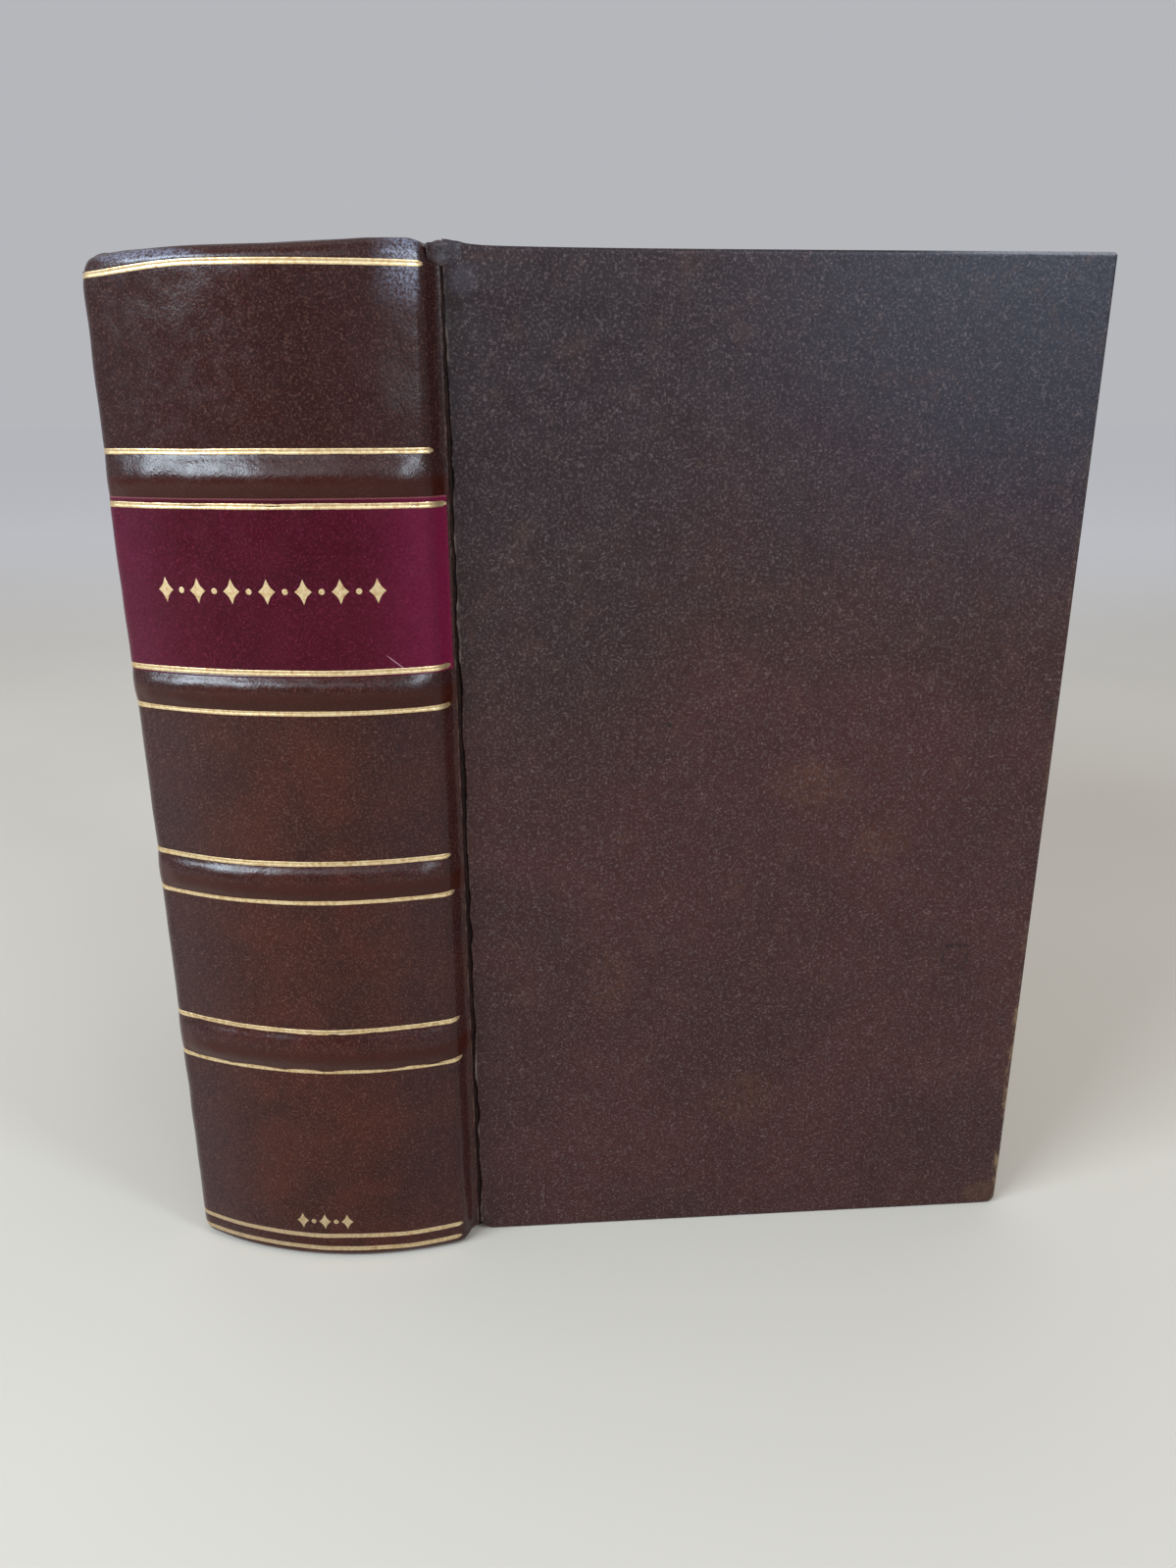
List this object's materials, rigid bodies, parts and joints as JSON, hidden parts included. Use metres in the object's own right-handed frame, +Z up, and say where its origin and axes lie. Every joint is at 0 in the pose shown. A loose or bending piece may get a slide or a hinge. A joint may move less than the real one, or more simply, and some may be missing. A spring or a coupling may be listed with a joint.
{
  "type": "antique leather book",
  "caption": "Antique octavo book in brown calf with raised spine bands, a burgundy label, gilt rules and hinged covers, standing with its front cover open.",
  "frame": {"origin": "on the standing surface, in the middle of the flat under-side of the spine's tail cap", "axes": "+Z up along the spine, +X from the back cover towards the front cover, +Y from the spine towards the fore-edge"},
  "size_m": [0.1947, 0.1407, 0.216],
  "materials": {
    "spine_calf": "smooth polished brown calf, finely speckled, satin gloss",
    "board_calf": "aged dark brown calf, dull satin, fine grain with russet mottling",
    "label_leather": "thin burgundy goatskin, glossy",
    "gilt": "gold leaf tooled into the leather, slightly worn",
    "page_edges": "cut edges of aged laid paper",
    "endpaper": "plain aged laid paper",
    "pasteboard": "laminated pasteboard",
    "lining": "glued paper and linen lining",
    "band_strip": "undyed leather strip",
    "headband_silk": "silk sewn over a cord core"
  },
  "bodies": {
    "text_and_spine": {"text_block": "page_edges", "front_flyleaf": "endpaper", "back_flyleaf": "endpaper", "spine_lining": "lining", "raised_band_1": "band_strip", "raised_band_2": "band_strip", "raised_band_3": "band_strip", "raised_band_4": "band_strip", "spine_leather": "spine_calf", "head_headband": "headband_silk", "tail_headband": "headband_silk", "title_label": "label_leather", "gilt_rule_01": "gilt", "gilt_rule_02": "gilt", "gilt_rule_03": "gilt", "gilt_rule_04": "gilt", "gilt_rule_05": "gilt", "gilt_rule_06": "gilt", "gilt_rule_07": "gilt", "gilt_rule_08": "gilt", "gilt_rule_09": "gilt", "gilt_rule_10": "gilt", "gilt_rule_11": "gilt", "label_ornament": "gilt", "tail_ornament": "gilt"},
    "front_cover": {"front_cover_board": "pasteboard", "front_cover_leather": "board_calf", "front_cover_pastedown": "endpaper"},
    "back_cover": {"back_cover_board": "pasteboard", "back_cover_leather": "board_calf", "back_cover_pastedown": "endpaper"}
  },
  "joints": [
    {"name": "front_cover_joint", "type": "hinge", "parent": "text_and_spine", "child": "front_cover", "pos_m": [0.0343, 0.0091, 0], "axis": [0, 0, 1], "range_deg": [-98.2, 81.8]},
    {"name": "back_cover_joint", "type": "hinge", "parent": "text_and_spine", "child": "back_cover", "pos_m": [-0.0343, 0.0091, 0], "axis": [0, 0, 1], "range_deg": [0, 180]}
  ]
}
